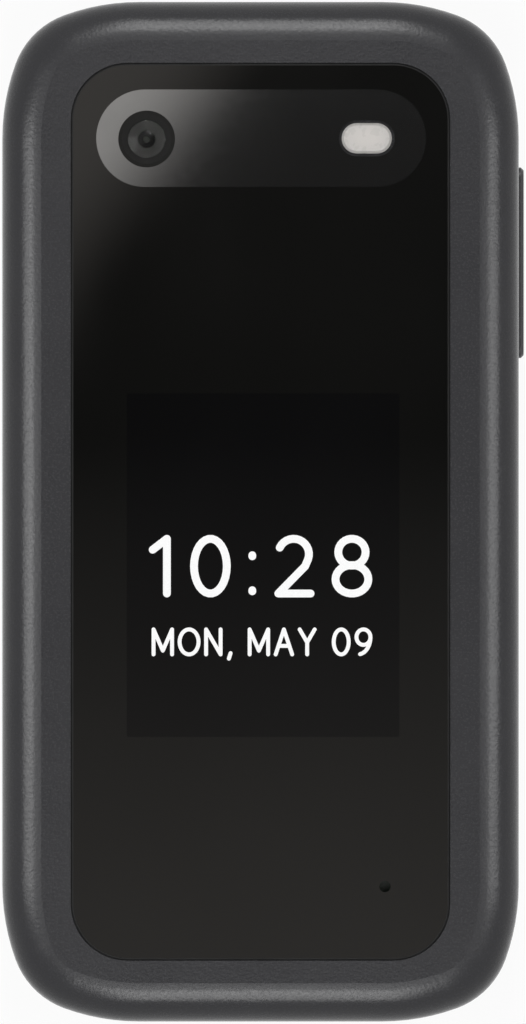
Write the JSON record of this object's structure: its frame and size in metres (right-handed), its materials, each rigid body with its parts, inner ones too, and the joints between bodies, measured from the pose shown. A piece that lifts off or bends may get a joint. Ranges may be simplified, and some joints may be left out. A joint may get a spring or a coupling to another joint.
{
  "type": "flip phone",
  "caption": "Closed clamshell mobile phone with rounded matt frame, glossy outer window, camera strip, inner keypad, friction hinge and lift-off back cover.",
  "frame": {"origin": "on the resting plane of the back cover, at the middle of the shut phone's outline", "axes": "+Z from the back cover to the lid's outer face, +Y along the phone towards the hinge, +X across it to the side with the volume key"},
  "size_m": [0.0553, 0.108, 0.0189],
  "materials": {
    "frame_plastic": "fine-grained, dark grey",
    "window_black": "black, mirror-smooth",
    "camera_strip": "mirror-coated, dark",
    "gloss_black": "black, polished",
    "optic_glass": "clear, coated",
    "flash_diffuser": "milky, clear over white",
    "led": "yellow phosphor",
    "display_glass": "black when dark",
    "inner_frame": "satin, near black",
    "lens_black": "clear over black print",
    "display_case": "pressed sheet",
    "board": "green solder resist",
    "magnet": "plated",
    "bumper": "soft, black",
    "steel": "bright",
    "chassis": "black, glass-filled",
    "battery_wrap": "printed film",
    "contact_gold": "gold-plated",
    "key_rubber": "translucent silicone",
    "dome_film": "clear film over steel domes",
    "key_plastic": "satin, dark grey",
    "nav_plastic": "silver-grey, polished",
    "speaker_black": "black",
    "antenna_plastic": "plated track on plastic"
  },
  "bodies": {
    "base": {"hinge_barrel": "steel", "base_front_shell": "frame_plastic", "rear_chassis": "chassis", "battery": "battery_wrap", "battery_contacts": "contact_gold", "main_board": "board", "board_shields": "display_case", "card_sockets": "steel", "key_mat": "key_rubber", "dome_sheet": "dome_film", "usb_socket": "steel", "headset_socket": "speaker_black", "microphone": "steel", "loudspeaker": "speaker_black", "vibration_motor": "steel", "antenna": "antenna_plastic", "base_screws": "steel", "side_key_board": "board"},
    "lid": {"lid_outer_shell": "frame_plastic", "lid_window": "window_black", "camera_plate": "camera_strip", "camera_bezel": "gloss_black", "camera_lens": "optic_glass", "camera_module": "gloss_black", "flash_lens": "flash_diffuser", "flash_led": "led", "outer_display": "display_glass", "lid_inner_frame": "inner_frame", "inner_display_lens": "lens_black", "inner_display": "display_case", "earpiece": "display_case", "lid_board": "board", "lid_magnet": "magnet", "lid_bumpers": "bumper", "lid_screws": "steel", "hinge_shaft": "steel", "hinge_bush": "steel"},
    "back_cover": {"back_cover": "frame_plastic"},
    "volume_key": {"volume_key": "key_plastic"},
    "nav_ring": {"nav_ring": "nav_plastic"},
    "nav_gimbal": {"nav_gimbal": "steel"},
    "select_key": {"select_key": "nav_plastic"},
    "key_1": {"key_1": "key_plastic"},
    "key_2": {"key_2": "key_plastic"},
    "key_3": {"key_3": "key_plastic"},
    "key_4": {"key_4": "key_plastic"},
    "key_5": {"key_5": "key_plastic"},
    "key_6": {"key_6": "key_plastic"},
    "key_7": {"key_7": "key_plastic"},
    "key_8": {"key_8": "key_plastic"},
    "key_9": {"key_9": "key_plastic"},
    "key_star": {"key_star": "key_plastic"},
    "key_0": {"key_0": "key_plastic"},
    "key_hash": {"key_hash": "key_plastic"},
    "soft_key_left": {"soft_key_left": "key_plastic"},
    "soft_key_right": {"soft_key_right": "key_plastic"},
    "call_key": {"call_key": "key_plastic"},
    "end_key": {"end_key": "key_plastic"}
  },
  "joints": [
    {"name": "lid_hinge", "type": "hinge", "parent": "base", "child": "lid", "pos_m": [0, 0.0498, 0.0147], "axis": [-1, 0, 0], "range_deg": [0, 150]},
    {"name": "back_cover_lift", "type": "slide", "parent": "base", "child": "back_cover", "axis": [0, 0, -1], "range_m": [0, 0.01]},
    {"name": "volume_rock", "type": "hinge", "parent": "base", "child": "volume_key", "pos_m": [0.0252, 0.0265, 0.00722], "axis": [0, 0, 1], "range_deg": [-2, 2], "stiffness_Nm_per_rad": 0.3},
    {"name": "nav_tilt_y", "type": "hinge", "parent": "base", "child": "nav_gimbal", "pos_m": [0, 0.0186, 0.00785], "axis": [1, 0, 0], "range_deg": [-1.5, 1.5], "stiffness_Nm_per_rad": 0.3},
    {"name": "nav_tilt_x", "type": "hinge", "parent": "nav_gimbal", "child": "nav_ring", "pos_m": [0, 0.0186, 0.00785], "axis": [0, 1, 0], "range_deg": [-1.5, 1.5], "stiffness_Nm_per_rad": 0.3},
    {"name": "select_key_press", "type": "slide", "parent": "base", "child": "select_key", "axis": [0, 0, -1], "range_m": [0, 0.00035], "stiffness_N_per_m": 1500, "springref_m": -0.0003},
    {"name": "key_1_press", "type": "slide", "parent": "base", "child": "key_1", "axis": [0, 0, -1], "range_m": [0, 0.00035], "stiffness_N_per_m": 1500, "springref_m": -0.0003},
    {"name": "key_2_press", "type": "slide", "parent": "base", "child": "key_2", "axis": [0, 0, -1], "range_m": [0, 0.00035], "stiffness_N_per_m": 1500, "springref_m": -0.0003},
    {"name": "key_3_press", "type": "slide", "parent": "base", "child": "key_3", "axis": [0, 0, -1], "range_m": [0, 0.00035], "stiffness_N_per_m": 1500, "springref_m": -0.0003},
    {"name": "key_4_press", "type": "slide", "parent": "base", "child": "key_4", "axis": [0, 0, -1], "range_m": [0, 0.00035], "stiffness_N_per_m": 1500, "springref_m": -0.0003},
    {"name": "key_5_press", "type": "slide", "parent": "base", "child": "key_5", "axis": [0, 0, -1], "range_m": [0, 0.00035], "stiffness_N_per_m": 1500, "springref_m": -0.0003},
    {"name": "key_6_press", "type": "slide", "parent": "base", "child": "key_6", "axis": [0, 0, -1], "range_m": [0, 0.00035], "stiffness_N_per_m": 1500, "springref_m": -0.0003},
    {"name": "key_7_press", "type": "slide", "parent": "base", "child": "key_7", "axis": [0, 0, -1], "range_m": [0, 0.00035], "stiffness_N_per_m": 1500, "springref_m": -0.0003},
    {"name": "key_8_press", "type": "slide", "parent": "base", "child": "key_8", "axis": [0, 0, -1], "range_m": [0, 0.00035], "stiffness_N_per_m": 1500, "springref_m": -0.0003},
    {"name": "key_9_press", "type": "slide", "parent": "base", "child": "key_9", "axis": [0, 0, -1], "range_m": [0, 0.00035], "stiffness_N_per_m": 1500, "springref_m": -0.0003},
    {"name": "key_star_press", "type": "slide", "parent": "base", "child": "key_star", "axis": [0, 0, -1], "range_m": [0, 0.00035], "stiffness_N_per_m": 1500, "springref_m": -0.0003},
    {"name": "key_0_press", "type": "slide", "parent": "base", "child": "key_0", "axis": [0, 0, -1], "range_m": [0, 0.00035], "stiffness_N_per_m": 1500, "springref_m": -0.0003},
    {"name": "key_hash_press", "type": "slide", "parent": "base", "child": "key_hash", "axis": [0, 0, -1], "range_m": [0, 0.00035], "stiffness_N_per_m": 1500, "springref_m": -0.0003},
    {"name": "soft_key_left_press", "type": "slide", "parent": "base", "child": "soft_key_left", "axis": [0, 0, -1], "range_m": [0, 0.00035], "stiffness_N_per_m": 1500, "springref_m": -0.0003},
    {"name": "soft_key_right_press", "type": "slide", "parent": "base", "child": "soft_key_right", "axis": [0, 0, -1], "range_m": [0, 0.00035], "stiffness_N_per_m": 1500, "springref_m": -0.0003},
    {"name": "call_key_press", "type": "slide", "parent": "base", "child": "call_key", "axis": [0, 0, -1], "range_m": [0, 0.00035], "stiffness_N_per_m": 1500, "springref_m": -0.0003},
    {"name": "end_key_press", "type": "slide", "parent": "base", "child": "end_key", "axis": [0, 0, -1], "range_m": [0, 0.00035], "stiffness_N_per_m": 1500, "springref_m": -0.0003}
  ]
}
